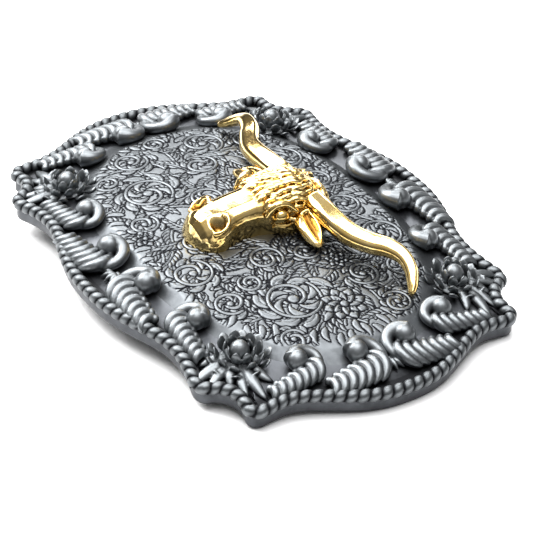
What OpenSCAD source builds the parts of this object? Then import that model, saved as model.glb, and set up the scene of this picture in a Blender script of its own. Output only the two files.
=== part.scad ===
// A western trophy belt buckle: a domed plate with a rope edge, raised scrolls and flowers round an
// engraved panel, a cast steer's head riveted on top, and a belt loop and a hook on the back.
// X runs across the wearer, Y runs up, and Z points out of the face. The origin is under the
// buckle's centre, level with the hook's tip, which is its lowest point.

/* [Outline] */
// Half the width, from the centre to the middle of the rope at the end
end_crest = 48.6; // [46:0.1:51]
// Half the height, from the centre to the middle of the rope at the top
top_crest = 34.8; // [33:0.1:36]
// Half the width where the end pulls in
end_valley = 41.6; // [40.5:0.1:42.5]
// Half the height where the top pulls in
top_valley = 30.1; // [29.5:0.1:30.8]
// Radius of the scoop cut out of each corner
notch_r = 6.5; // [6:0.1:7]

/* [Plate] */
// Radius of the dome that the face follows
dome_r = 277; // [240:1:320]
// Thickness of the plate over its middle
plate_t = 1.4; // [1.2:0.1:1.8]
// Depth of the plate at its rim
rim_depth = 3.0; // [2.5:0.1:3.2]
// Thickness of the engraved panel
panel_t = 1.5; // [1:0.1:1.8]
// Radius of the rope
rope_r = 1.35; // [1.1:0.05:1.4]

/* [Belt loop] */
// Radius of the loop's wire
wire_r = 1.25; // [1.1:0.05:1.3]
// Clear width inside the loop, for a belt of 38 mm
loop_gap = 39.5; // [39:0.5:41]
// Distance from the loop's hinge to its outer bar
loop_reach = 16; // [14:0.5:17]
// Distance from the buckle's centre to the hinge
hinge_x = 14; // [13:0.5:15]

/* [Hook] */
// Radius of the hook's peg
peg_r = 2.0; // [1.6:0.1:2.2]
// Length of the peg behind its washer
peg_len = 6.3; // [5.5:0.1:7]
// How far the peg leans towards the end of the buckle, in degrees
peg_lean = 9; // [6:1:12]
// Distance from the buckle's centre to the hook
peg_x = 24; // [22:0.5:26]

/* [Steer head] */
// Height of the head above the panel, at the muzzle
head_h = 7.6; // [7:0.1:8.2]
// Half the span of the horns
horn_span = 31.5; // [30:0.5:32]

/* [Hidden] */
SIDES = ["lower", "right", "upper", "left"];
CORNERS = ["lower_left", "lower_right", "upper_right", "upper_left"];

$fn = 48;
dome_fn = 256;
gap = 0.02;                 // what keeps two soldered faces from sharing metal
edge_out = 1.15;            // how far the plate's wall stands outside the rope's middle
seat_z = -3.25;             // level of the flat face under the bracket, from the dome's top
tip_cone = 0.7;             // length of the cone at the peg's end
tip_r = peg_r - 0.6;
collar_r = 2.8;             // the collar at the peg's foot, square to the peg
collar_t = 0.9;
washer_r = 4.6;
washer_t = 0.8;
washer_top = -plate_t - 0.06;
shoulder = washer_top - washer_t - gap;
peg_tilt = asin(peg_x / dome_r);
// The dome's top stands this far above the peg's tip.
top_z = dome_r * (1 - cos(peg_tilt)) - shoulder * cos(peg_tilt) + peg_len * cos(peg_lean)
    + tip_r * sin(peg_lean);

// ---- the outline ----
long_valley_x = 22.8;       // where the top and bottom edges pull in most
short_valley_y = 22;        // where the ends pull in most
crest_power = 1.25;         // above 1 makes the crests broader
tip_1 = [32.5, 32.0];       // the corner's two points, at the middle of the rope
tip_2 = [42.0, 27.4];
notch_mid = [38.8, 33.1];
tip_round = 2.2;            // how far back from a point its rounding starts

function wave(u) = (1 + cos(180 * pow(u, crest_power))) / 2;
function top_edge(x) = x < long_valley_x
    ? top_valley + (top_crest - top_valley) * wave(x / long_valley_x)
    : top_valley + (tip_1.y - top_valley) * pow((x - long_valley_x) / (tip_1.x - long_valley_x), 2);
function end_edge(y) = y < short_valley_y
    ? end_valley + (end_crest - end_valley) * wave(y / short_valley_y)
    : end_valley + (tip_2.x - end_valley) * pow((y - short_valley_y) / (tip_2.y - short_valley_y), 2);
function bezier(a, b, c, t) = (1 - t) * (1 - t) * a + 2 * t * (1 - t) * b + t * t * c;
function on_notch(angle) = notch_mid + notch_r * [cos(angle), sin(angle)];

notch_from = 190;
notch_to = 299;
notch_trim = 16;            // degrees of the scoop that each rounding takes up
long_steps = 13;
end_steps = 9;
tip_steps = 5;
notch_steps = 6;
long_end_x = tip_1.x - tip_round;
short_end_y = tip_2.y - tip_round;
quadrant = concat(
    [for (i = [0:long_steps]) let (x = long_end_x * i / long_steps) [x, top_edge(x)]],
    [for (i = [1:tip_steps]) bezier([long_end_x, top_edge(long_end_x)], tip_1,
        on_notch(notch_from + notch_trim), i / tip_steps)],
    [for (i = [1:notch_steps - 1])
        on_notch(notch_from + notch_trim + (notch_to - notch_from - 2 * notch_trim) * i / notch_steps)],
    [for (i = [0:tip_steps - 1]) bezier(on_notch(notch_to - notch_trim), tip_2,
        [end_edge(short_end_y), short_end_y], i / tip_steps)],
    [for (i = [0:end_steps]) let (y = short_end_y * (1 - i / end_steps)) [end_edge(y), y]]);

last = len(quadrant) - 1;
// The four quadrants, going clockwise from the top; each leaves out the point that it shares.
rim = concat(
    [for (i = [0:last - 1]) quadrant[i]],
    [for (i = [last:-1:1]) [quadrant[i].x, -quadrant[i].y]],
    [for (i = [0:last - 1]) [-quadrant[i].x, -quadrant[i].y]],
    [for (i = [last:-1:1]) [-quadrant[i].x, quadrant[i].y]]);
rim_n = len(rim);
function unit(v) = v / norm(v);
function rim_out(i) = let (d = rim[(i + 1) % rim_n] - rim[(i + rim_n - 1) % rim_n]) unit([-d.y, d.x]);
plate_edge = [for (i = [0:rim_n - 1]) rim[i] + edge_out * rim_out(i)];

// ---- the dome ----
function dome_drop(x, y) = dome_r - sqrt(dome_r * dome_r - x * x - y * y);
function dome_z(x, y) = top_z - dome_drop(x, y);
// A ball whose surface lies h above the plate's face, everywhere.
module ball(h) translate([0, 0, top_z - dome_r]) sphere(r = dome_r + h, $fn = dome_fn);
module prism(points) translate([0, 0, -5]) linear_extrude(top_z + 20) polygon(points);
// Puts something on the dome at (x, y), square to it.
module on_dome(x, y) {
    tilt = asin(norm([x, y]) / dome_r);
    translate([x, y, dome_z(x, y)]) rotate([0, 0, atan2(y, x)]) rotate([0, tilt, 0])
        rotate([0, 0, -atan2(y, x)]) children();
}

// The same, for something soldered on by its flat back.
module on_face(x, y) on_dome(x, y) difference() {
    children();
    translate([-20, -20, gap - 20]) cube([40, 40, 20]);
}

function squircle(rx, ry, power, n) = [for (i = [0:n - 1]) let (a = 360 * i / n)
    [rx * sign(cos(a)) * pow(abs(cos(a)), 2 / power), ry * sign(sin(a)) * pow(abs(sin(a)), 2 / power)]];
panel_rx = 35;
panel_ry = 23;
panel_power = 2.4;
pocket_rx = 40.5;           // the hollow of the back, inside the rim
pocket_ry = 29;
pocket_power = 2.6;
outline_n = 72;             // points round each of the two ovals

post_r = 1.2;
post_ys = [-7.5, 6.5];
rivet_r = 1.1;
rivet_x = 8;
rivet_ys = [-10, 10];
shank_r = 1.5;
hole_play = 0.05;

module holes(r, points) for (p = points) translate([p.x, p.y, -1]) cylinder(r = r, h = top_z + 10);
posts_at = [for (y = post_ys) [0, y]];
rivets_at = [for (y = rivet_ys) [rivet_x, y]];

module base_plate() color("dimgray") difference() {
    intersection() {
        prism(plate_edge);
        ball(0);
    }
    ball(-rim_depth);
    intersection() {
        prism(squircle(pocket_rx, pocket_ry, pocket_power, outline_n));
        ball(-plate_t);
    }
    holes(post_r + hole_play, posts_at);
    holes(rivet_r + hole_play, rivets_at);
    on_dome(-peg_x, 0) translate([0, 0, -2 * rim_depth]) cylinder(r = shank_r + hole_play, h = 4 * rim_depth);
}

module engraved_panel() color("slategray") difference() {
    intersection() {
        prism(squircle(panel_rx, panel_ry, panel_power, outline_n));
        ball(panel_t);
    }
    ball(gap);
    holes(post_r + hole_play, posts_at);
}

// ---- the rope: a D-shaped section swept round the rim, flat side on the plate ----
rope_sides = 8;
rope_base = 0.75;           // height of the rope's middle above the plate's face
rope_from = -asin(rope_base / rope_r);
function rope_section(j) = let (a = rope_from + (180 - 2 * rope_from) * j / (rope_sides - 1))
    rope_r * [cos(a), sin(a)] + [0, rope_base];
rope_points = [for (i = [0:rim_n - 1]) for (j = [0:rope_sides - 1])
    let (s = rope_section(j), p = rim[i] + s.x * rim_out(i)) [p.x, p.y, dome_z(p.x, p.y) + s.y + gap]];
function rope_at(i, j) = (i % rim_n) * rope_sides + j % rope_sides;
rope_faces = [for (i = [0:rim_n - 1]) for (j = [0:rope_sides - 1])
    [rope_at(i, j), rope_at(i + 1, j), rope_at(i + 1, j + 1), rope_at(i, j + 1)]];
module rope_edge() color("silver") polyhedron(points = rope_points, faces = rope_faces, convexity = 6);

// ---- scrolls: a bulb, a band that curls round it, and ribs that trail to the corner ----
// Each scroll's own frame has +X towards the corner and +Y towards the rope.
bulb_r = 2.15;
band_r = 1.15;
band_arc_r = 2.7;
rib_count = 4;
rib_pitch = 1.2;
rib_half = 2.5;             // half the length of a rib
rib_bulge = 0.62;           // half its thickness
rib_sink = 1.3;             // how deep its middle lies below the face
rib_ball = (rib_half * rib_half + rib_bulge * rib_bulge) / (2 * rib_bulge);
web_t = 0.6;
rib_stand = 80;             // degrees that a rib stands up from the face
// A rib is what two balls share, stood almost on edge.
module rib() translate([0, 0, -rib_sink]) rotate([0, rib_stand, 0]) intersection() {
    translate([0, 0, rib_ball - rib_bulge]) sphere(r = rib_ball);
    translate([0, 0, rib_bulge - rib_ball]) sphere(r = rib_ball);
}
module scroll_shape(size) scale(size) {
    translate([0.2, -0.3, 0.8]) sphere(r = bulb_r);
    translate([0, 0.7, 0.3]) rotate([0, 0, 65]) rotate_extrude(angle = 185)
        translate([band_arc_r, 0]) circle(r = band_r);
    linear_extrude(web_t) polygon([for (i = [0:24]) let (a = 180 * i / 24)
        [7.6 * sin(a / 2), 1.2 + 2.6 * sin(a) - 1.1 * cos(a)]]);
    for (i = [1:rib_count])
        translate([2.2 + rib_pitch * i, 1.6 - 0.12 * i, 0])
            rotate([0, 0, 8 * i - 26]) scale(1 - 0.06 * i) rib();
}

// [how far along the side, how far out, size] of the outer and the inner scroll of each side
long_scrolls = [[19.2, 24.7, 0.9], [6.4, 27.4, 1]];
end_scrolls = [[15.0, 36.6, 0.86], [4.9, 40.0, 0.92]];
// Scrolls 1 and 2 trail to one corner of their side, and 3 and 4, their mirror images, to the other.
function scroll_spot(side, k) = (side % 2 == 0 ? long_scrolls : end_scrolls)[k < 2 ? k : 3 - k];
scroll_turn = -12;          // degrees that a scroll's tail leans towards the rope
module scroll(side, k) color("gainsboro") {
    s = scroll_spot(side, k);
    rotate([0, 0, 90 * side]) mirror([k < 2 ? 0 : 1, 0, 0]) on_face(-s[0], -s[1])
        rotate([0, 0, 180 + scroll_turn]) scroll_shape(s[2]);
}

// ---- the small fan in the middle of each side ----
fan_spots = [31.6, 44.6];
fan_spread = 40;            // degrees from one blade to the next
fan_blade_len = 2;
fan_blade_r = [0.55, 0.3];
fan_lift = 0.1;
module fan(side) color("gainsboro") rotate([0, 0, 90 * side]) on_face(0, -fan_spots[side % 2])
    for (a = [-fan_spread, 0, fan_spread])
        rotate([0, 0, a]) translate([0, fan_blade_len / 2, fan_lift]) rotate([90, 0, 0])
            cylinder(r1 = fan_blade_r[0], r2 = fan_blade_r[1], h = fan_blade_len);

// ---- flowers: a bud in a ring of petals ----
flower_at = [30.2, 23.0];
flower_bud_r = 1.9;
// A petal is what two balls share, stood on edge.
module petal(length, tilt) rotate([0, tilt, 0]) translate([length, 0, 0]) intersection() {
    translate([0, 0, -2.6]) sphere(r = 3.1);
    translate([0, 0, 2.6]) sphere(r = 3.1);
}
module flower(corner) color("gainsboro")
    on_face([-1, 1, 1, -1][corner] * flower_at.x, [-1, -1, 1, 1][corner] * flower_at.y) {
        translate([0, 0, 1.0]) sphere(r = flower_bud_r);
        for (i = [0:7]) rotate([0, 0, 45 * i]) petal(3.3, -12);
    }

// ---- the steer's head ----
// Each row is a point across, a point up, its height above the panel, and the radius there.
horn_path = [[6, 8.4, 4.6, 2.2], [13, 8.6, 4.0, 2.1], [18, 9.4, 3.7, 1.9], [22.5, 11.6, 3.6, 1.65],
    [26.5, 13.5, 3.3, 1.4], [29.6, 13.6, 2.6, 1.1], [horn_span - 0.6, 12.2, 1.6, 0.7]];
skull = [[0, -9.6, head_h - 4.0, 4.0], [0, -4, 3.9, 3.5], [0, 2.5, 3.6, 4.2], [0, 7.0, 3.6, 4.6]];
cheek = [[3.4, 1.2, 2.6, 2.4], [4.4, 6.8, 2.9, 3.0]];
ear = [[5.8, 5.2, 2.6, 1.4], [10.2, 4.2, 2.0, 1.4], [13.6, 4.0, 1.7, 0.55]];
crown = [[4.2, 7.4, 3.2, 3.6], [2.2, 2.4, 3.4, 3.2]];
module knob(p) translate([p[0], p[1], p[2] - dome_drop(p[0], p[1])]) sphere(r = p[3], $fn = 20);
module chain(list) for (i = [0:len(list) - 2]) hull() {
    knob(list[i]);
    knob(list[i + 1]);
}
head_lift = 0.04;
module steer_head() color("gold") translate([0, 0, top_z + panel_t]) difference() {
    union() {
        chain(skull);
        for (s = [0, 1]) mirror([s, 0, 0]) {
            chain(horn_path);
            chain(ear);
            chain(cheek);
        }
        hull() for (s = [0, 1], p = crown) mirror([s, 0, 0]) knob(p);
    }
    translate([-40, -40, head_lift - 20]) cube([80, 80, 20]);
}

// ---- the posts that hold the head, and their push-on nuts ----
nut_r = 3.0;
nut_t = 0.9;
nut_cone_r = [1.8, 2.2];    // the raised middle of a nut's back
nut_cone_h = 0.4;
nut_cone_up = 0.35;
post_foot = 0.7;            // how far a post stands out behind its nut
post_end = 0.15;            // how far its other end stays below the panel's face
nut_z = -plate_t - dome_drop(0, abs(post_ys[0]) + nut_r) - gap - nut_t;
module head_posts() color("goldenrod") for (p = posts_at)
    translate([p.x, p.y, top_z + nut_z - post_foot])
        cylinder(r = post_r, h = -nut_z + post_foot + panel_t - post_end);
module post_nuts() color("silver") for (p = posts_at) difference() {
    translate([p.x, p.y, top_z + nut_z]) {
        cylinder(r = nut_r, h = nut_t);
        translate([0, 0, -nut_cone_up]) cylinder(r1 = nut_cone_r[0], r2 = nut_cone_r[1], h = nut_cone_h);
    }
    translate([p.x, p.y, 0]) cylinder(r = post_r + hole_play, h = top_z);
}

// ---- the bracket on the back, and the belt loop that swings in it ----
knuckle_r = 2.25;
knuckle_len = 28;
wire_play = 0.05;
hinge_z = top_z - 4.5;
flange = [4.2, 17.5];       // where the bracket's flange starts and ends across the buckle
flange_w = 30;
module loop_bracket() color("darkgray") difference() {
    union() {
        intersection() {
            translate([flange[0], -flange_w / 2, top_z + seat_z]) cube([flange[1] - flange[0], flange_w, 4]);
            ball(-plate_t - gap);
        }
        translate([hinge_x, knuckle_len / 2, hinge_z]) rotate([90, 0, 0])
            cylinder(r = knuckle_r, h = knuckle_len);
    }
    translate([hinge_x, flange_w, hinge_z]) rotate([90, 0, 0])
        cylinder(r = wire_r + wire_play, h = 2 * flange_w);
    holes(rivet_r + hole_play, rivets_at);
}

rivet_head_r = 2.1;
rivet_head_h = 0.8;
rivet_taper = 0.6;          // how much smaller a rivet's head is at its outer face
module bracket_rivets() color("darkgray") for (p = rivets_at) intersection() {
    translate([p.x, p.y, top_z + seat_z]) {
        cylinder(r = rivet_r, h = 6);
        translate([0, 0, -rivet_head_h - gap])
            cylinder(r1 = rivet_head_r - rivet_taper, r2 = rivet_head_r, h = rivet_head_h);
        translate([0, 0, -gap - 0.01]) cylinder(r = rivet_r, h = 0.1);
    }
    ball(-gap);
}

arm_y = loop_gap / 2 + wire_r;
bend_r = 2.6;               // radius of the wire's bends, at its middle
loop_in = 8;                // how far each end of the wire reaches into the knuckle
loop_tilt = 5.0;            // the loop's slope at rest, down towards its outer bar
module bend(x, y, turn) translate([x, y, 0]) rotate([0, 0, turn]) rotate_extrude(angle = 90)
    translate([bend_r, 0]) circle(r = wire_r);
module rod(from, along, len) translate([from.x, from.y, 0]) rotate([0, 90, along])
    cylinder(r = wire_r, h = len);
module half_loop() {
    end_y = knuckle_len / 2 - loop_in;
    rod([0, end_y], 90, arm_y - bend_r - end_y);
    bend(bend_r, arm_y - bend_r, 90);
    rod([bend_r, arm_y], 0, loop_reach - 2 * bend_r);
    bend(loop_reach - bend_r, arm_y - bend_r, 0);
    rod([loop_reach, 0], 90, arm_y - bend_r);
}
module belt_loop() color("silver") translate([hinge_x, 0, hinge_z]) rotate([0, loop_tilt, 0]) {
    half_loop();
    mirror([0, 1, 0]) half_loop();
}

// ---- the hook: a washer and a peg whose shank is riveted through the plate ----
// Both stand square to the dome, and the peg leans on from there towards the end of the buckle.
module hook_washer() color("darkgray") on_dome(-peg_x, 0)
    translate([0, 0, washer_top - washer_t]) difference() {
        cylinder(r = washer_r, h = washer_t);
        translate([0, 0, -1]) cylinder(r = shank_r + hole_play, h = washer_t + 2);
    }
module hook_peg() color("silver") on_dome(-peg_x, 0) {
    translate([0, 0, shoulder - 0.3]) cylinder(r = shank_r, h = -shoulder + 0.3 - gap);
    difference() {
        translate([0, 0, shoulder]) rotate([0, 180 + peg_lean + peg_tilt, 0]) {
            translate([0, 0, -2]) cylinder(r = peg_r, h = peg_len - tip_cone + 2);
            translate([0, 0, -2]) cylinder(r = collar_r, h = collar_t + 2);
            translate([0, 0, peg_len - tip_cone]) cylinder(r1 = peg_r, r2 = tip_r, h = tip_cone);
        }
        translate([-10, -10, shoulder]) cube([20, 20, 10]);
    }
}

base_plate();
engraved_panel();
rope_edge();
for (i = [0:3]) {
    flower(i);
    fan(i);
    for (k = [0:3]) scroll(i, k);
}
steer_head();
head_posts();
post_nuts();
loop_bracket();
bracket_rivets();
belt_loop();
hook_washer();
hook_peg();
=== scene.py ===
# %% [markdown]
# # A western trophy buckle
# The buckle is a domed plate with a rope edge. Inside the rope lie sixteen scrolls, four flowers and
# four small fans, then a raised panel with engraved scrollwork, and on the panel a gold steer's head.
# The back carries a swinging belt loop and a hook.
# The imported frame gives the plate's size, the hardware on the back and the hinge. Everything that
# shows on the face is modelled here in full detail, in metres, in that same frame.

# %% Load the frame
import math

import bmesh
import bpy
import numpy as np
from mathutils import Euler, Matrix, Vector


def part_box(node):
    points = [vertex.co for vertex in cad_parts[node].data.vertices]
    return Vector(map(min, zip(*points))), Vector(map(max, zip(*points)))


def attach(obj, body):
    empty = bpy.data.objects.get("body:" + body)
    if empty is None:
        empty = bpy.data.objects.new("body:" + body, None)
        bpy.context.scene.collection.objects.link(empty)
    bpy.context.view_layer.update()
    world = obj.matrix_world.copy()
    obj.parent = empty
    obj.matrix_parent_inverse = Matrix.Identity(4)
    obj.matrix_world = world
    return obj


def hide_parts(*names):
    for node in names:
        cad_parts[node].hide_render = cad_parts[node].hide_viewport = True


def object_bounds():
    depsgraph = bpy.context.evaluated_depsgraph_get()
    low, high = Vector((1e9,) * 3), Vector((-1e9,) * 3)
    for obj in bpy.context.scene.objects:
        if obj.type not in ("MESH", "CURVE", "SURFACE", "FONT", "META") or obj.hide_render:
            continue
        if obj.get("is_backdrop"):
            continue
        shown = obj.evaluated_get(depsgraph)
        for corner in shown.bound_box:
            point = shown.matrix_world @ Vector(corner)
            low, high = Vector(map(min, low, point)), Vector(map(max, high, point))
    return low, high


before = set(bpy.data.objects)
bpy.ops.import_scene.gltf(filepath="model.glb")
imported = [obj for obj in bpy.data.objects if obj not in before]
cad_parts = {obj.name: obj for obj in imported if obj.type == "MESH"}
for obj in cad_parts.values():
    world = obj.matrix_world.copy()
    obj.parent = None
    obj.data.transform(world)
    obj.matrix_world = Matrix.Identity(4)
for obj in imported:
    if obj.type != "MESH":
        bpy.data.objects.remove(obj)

cad_low, cad_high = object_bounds()
MM = 0.001
print("frame", [round(v / MM, 2) for v in cad_high - cad_low], "mm, nodes", len(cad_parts))

# %% [markdown]
# ## Driving sizes
# The face of the plate is part of a ball of 277 mm radius. The rope's own outline is a wave on each side
# that rises to two points at every corner, with a round scoop between them. Both are written as
# formulas, in millimetres, so every ornament can be set on the dome and kept inside the rope.

# %% Outline and dome
DOME_R = 277.0
PANEL_UP = 1.5                                      # how high the panel's cushion stands
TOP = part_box("engraved_panel")[1].z / MM - PANEL_UP     # the dome's top, under the panel
END_CREST, TOP_CREST = 48.6, 34.8
END_VALLEY, TOP_VALLEY = 41.6, 30.1
VALLEY_X, VALLEY_Y = 22.8, 22                       # where the waves end and the corners begin
TIP_1, TIP_2 = np.array([32.5, 32.0]), np.array([42.0, 27.4])
NOTCH_MID, NOTCH_R = np.array([38.8, 33.1]), 6.5


def dome_drop(x, y):
    return DOME_R - np.sqrt(DOME_R ** 2 - np.square(x) - np.square(y))


def wave(u):
    return (1 + np.cos(np.pi * np.power(u, 1.25))) / 2


def long_edge(x):
    if x < VALLEY_X:
        return TOP_VALLEY + (TOP_CREST - TOP_VALLEY) * wave(x / VALLEY_X)
    return TOP_VALLEY + (TIP_1[1] - TOP_VALLEY) * ((x - VALLEY_X) / (TIP_1[0] - VALLEY_X)) ** 2


def short_edge(y):
    if y < VALLEY_Y:
        return END_VALLEY + (END_CREST - END_VALLEY) * wave(y / VALLEY_Y)
    return END_VALLEY + (TIP_2[0] - END_VALLEY) * ((y - VALLEY_Y) / (TIP_2[1] - VALLEY_Y)) ** 2


def rounded(a, b, c, steps):
    t = np.linspace(0, 1, steps)[:, None]
    return (1 - t) ** 2 * a + 2 * t * (1 - t) * b + t * t * c


def heading(degrees):
    way = np.radians(degrees)
    return np.array([np.cos(way), np.sin(way)])


def scoop(degrees):
    return NOTCH_MID + NOTCH_R * heading(degrees)


def rim_outline(points):
    """The rope's middle line, evenly spaced, going counter-clockwise from the end at +X."""
    tip = 2.2
    parts = [[(short_edge(y), y) for y in np.linspace(0, TIP_2[1] - tip, 60)],
             rounded(np.array([short_edge(TIP_2[1] - tip), TIP_2[1] - tip]), TIP_2, scoop(283), 14)[1:],
             [scoop(a) for a in np.linspace(283, 206, 24)[1:]],
             rounded(scoop(206), TIP_1, np.array([TIP_1[0] - tip, long_edge(TIP_1[0] - tip)]), 14)[1:],
             [(x, long_edge(x)) for x in np.linspace(TIP_1[0] - tip, 0, 90)[1:]]]
    quarter = np.vstack(parts)
    half = np.vstack([quarter, (quarter * [-1, 1])[::-1][1:]])
    loop = np.vstack([half, (half * [1, -1])[::-1][1:]])
    run = np.concatenate([[0], np.cumsum(np.linalg.norm(np.diff(loop, axis=0), axis=1))])
    at = np.linspace(0, run[-1], points, endpoint=False)
    return np.column_stack([np.interp(at, run, loop[:, i]) for i in (0, 1)]), run[-1]


def outward(loop):
    along = np.roll(loop, -1, axis=0) - np.roll(loop, 1, axis=0)
    out = np.column_stack([along[:, 1], -along[:, 0]])
    return out / np.linalg.norm(out, axis=1)[:, None]


rim, rim_length = rim_outline(720)
rim_out = outward(rim)
print("rope runs", round(float(rim_length), 1), "mm round the rim")

# %% [markdown]
# ## Small tools
# Three helpers do most of the work. `new_piece` turns numbers into an object whose place is in its mesh.
# `tube` sweeps a round or flattened section along a line, tapering as told, which is how a wax carver
# lays down a rib, a petal or a horn. `cast` melts such rough shapes into one skin with a voxel remesh
# and softens it, because a cast ornament has no sharp joins between its lobes.

# %% Mesh helpers
def new_piece(name, verts, faces):
    mesh = bpy.data.meshes.new(name)
    mesh.from_pydata([tuple(v) for v in verts], [], [tuple(f) for f in faces])
    mesh.polygons.foreach_set("use_smooth", [True] * len(mesh.polygons))
    mesh.update()
    obj = bpy.data.objects.new(name, mesh)
    bpy.context.scene.collection.objects.link(obj)
    return obj


def row_faces(rows, sides):
    """Quads between rings of sides points, and a fan to one more point at each end."""
    faces = [(i * sides + j, i * sides + (j + 1) % sides, (i + 1) * sides + (j + 1) % sides,
              (i + 1) * sides + j) for i in range(rows - 1) for j in range(sides)]
    faces += [(rows * sides, (j + 1) % sides, j) for j in range(sides)]
    last = (rows - 1) * sides
    return faces + [(rows * sides + 1, last + j, last + (j + 1) % sides) for j in range(sides)]


def flipped(faces):
    return [tuple(reversed(f)) for f in faces]


def section_axes(path):
    """The direction along path, and the sideways and upward directions square to it."""
    along = np.gradient(path, axis=0)
    along /= np.linalg.norm(along, axis=1)[:, None]
    side = np.cross(along, [0, 0, 1.0])
    side /= np.maximum(np.linalg.norm(side, axis=1), 1e-9)[:, None]
    return along, side, np.cross(side, along)


def tube(path, radii, sides=12, flat=1.0):
    """Rings along path. flat squeezes each ring upwards; the ends close to a rounded point."""
    path, radii = np.array(path, float), np.array(radii, float)
    along, side, lift = section_axes(path)
    turn = np.linspace(0, 2 * np.pi, sides, endpoint=False)[None, :, None]
    rings = path[:, None] + radii[:, None, None] * (np.cos(turn) * side[:, None]
                                                    + flat * np.sin(turn) * lift[:, None])
    ends = path[0] - along[0] * radii[0] * 0.7, path[-1] + along[-1] * radii[-1] * 0.7
    return np.vstack([rings.reshape(-1, 3), *ends]), row_faces(len(path), sides)


def blob(centre, size, tilt=(0, 0, 0), segments=20):
    """An egg shape: a ball stretched to size and turned by tilt, in degrees."""
    turn = Euler([math.radians(a) for a in tilt]).to_matrix()
    work = bmesh.new()
    bmesh.ops.create_uvsphere(work, u_segments=segments, v_segments=segments // 2 + 2, radius=1)
    verts = [turn @ Vector((v.co.x * size[0], v.co.y * size[1], v.co.z * size[2])) + Vector(centre)
             for v in work.verts]
    faces = [[v.index for v in f.verts] for f in work.faces]
    work.free()
    return np.array(verts), faces


def smooth_line(points, steps):
    """A curve through the points, with any number of columns."""
    p = np.array(points, float)
    p = np.vstack([2 * p[0] - p[1], p, 2 * p[-1] - p[-2]])
    out = []
    for i in range(1, len(p) - 2):
        for t in np.linspace(0, 1, steps, endpoint=False):
            out.append(0.5 * (2 * p[i] + (p[i + 1] - p[i - 1]) * t
                              + (2 * p[i - 1] - 5 * p[i] + 4 * p[i + 1] - p[i + 2]) * t ** 2
                              + (3 * p[i] - p[i - 1] - 3 * p[i + 1] + p[i + 2]) * t ** 3))
    out.append(p[-2])
    return np.array(out)


def joined(shapes):
    verts, faces, base = [], [], 0
    for v, f in shapes:
        verts.append(np.array(v))
        faces += [[i + base for i in face] for face in f]
        base += len(v)
    return np.vstack(verts), faces


def made_by_modifiers(obj):
    """The mesh that obj's modifiers make. obj itself is removed."""
    bpy.context.view_layer.update()
    made = bpy.data.meshes.new_from_object(obj.evaluated_get(bpy.context.evaluated_depsgraph_get()))
    bpy.data.objects.remove(obj)
    return made


def coords(mesh):
    co = np.empty(len(mesh.vertices) * 3, np.float32)
    mesh.vertices.foreach_get("co", co)
    return co.reshape(-1, 3).astype(float)


def faces_of(mesh):
    return [tuple(p.vertices) for p in mesh.polygons]


def cast(shapes, voxel, rounds):
    """Melts overlapping shapes, in millimetres, into one closed skin. Returns its points and faces."""
    obj = new_piece("wax", *joined(shapes))
    melt = obj.modifiers.new("melt", "REMESH")
    melt.mode = "VOXEL"
    melt.voxel_size = voxel
    soft = obj.modifiers.new("soft", "SMOOTH")
    soft.factor = 0.5
    soft.iterations = rounds
    made = made_by_modifiers(obj)
    return coords(made), faces_of(made)


def stands_for(piece, cad_node):
    """Sets a finished piece on the buckle in place of a CAD node, which is hidden."""
    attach(piece, "buckle")
    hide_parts(cad_node)


def node(tree, kind, **values):
    """Adds a node. A value sets the input or property of that name, and a node's output is linked to it."""
    made = tree.nodes.new(kind)
    for key, value in values.items():
        if key not in made.inputs:
            setattr(made, key, value)
        elif isinstance(value, bpy.types.NodeSocket):
            tree.links.new(value, made.inputs[key])
        else:
            made.inputs[key].default_value = value
    return made


def maths(tree, operation, *terms):
    """One arithmetic node; a term is a number or another node's output."""
    made = node(tree, "ShaderNodeMath", operation=operation)
    for socket, term in zip(made.inputs, terms):
        if isinstance(term, bpy.types.NodeSocket):
            tree.links.new(term, socket)
        else:
            socket.default_value = term
    return made.outputs[0]


def shader(name):
    material = bpy.data.materials.new(name)
    material.use_nodes = True
    return material, material.node_tree, material.node_tree.nodes["Principled BSDF"]


print("helpers ready")

# %% [markdown]
# ## Camera, table and light
# A buckle like this is photographed from a low three-quarter angle with a long lens, on a white sweep.
# It does not lie level: the hook on the back lifts one end, so it rests on the hook's tip and on two
# corners. The buckle keeps its frame, so the table is what is tilted here.

# %% Camera and table
AZIMUTH, ELEVATION, ROLL = math.radians(55.71), math.radians(33.93), math.radians(2.764)
CAMERA_FAR = 466.7 * MM
AIM = Vector((0, 0, (TOP + 2.75) * MM))
back = Vector((math.sin(AZIMUTH) * math.cos(ELEVATION), -math.cos(AZIMUTH) * math.cos(ELEVATION),
               math.sin(ELEVATION)))
right = Vector((math.cos(AZIMUTH), math.sin(AZIMUTH), 0))
above = back.cross(right)
leaned_right = math.cos(ROLL) * right + math.sin(ROLL) * above
leaned_up = -math.sin(ROLL) * right + math.cos(ROLL) * above
camera_data = bpy.data.cameras.new("camera")
camera_data.lens = 171.8
camera_data.sensor_width = 36
camera_data.shift_x, camera_data.shift_y = 0.018, -0.102
camera_data.clip_start, camera_data.clip_end = 0.01, 20
camera = bpy.data.objects.new("camera", camera_data)
camera.matrix_world = Matrix.Translation(AIM + back * CAMERA_FAR) @ Matrix(
    (leaned_right, leaned_up, back)).transposed().to_4x4()
bpy.context.scene.collection.objects.link(camera)
bpy.context.scene.camera = camera

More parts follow.
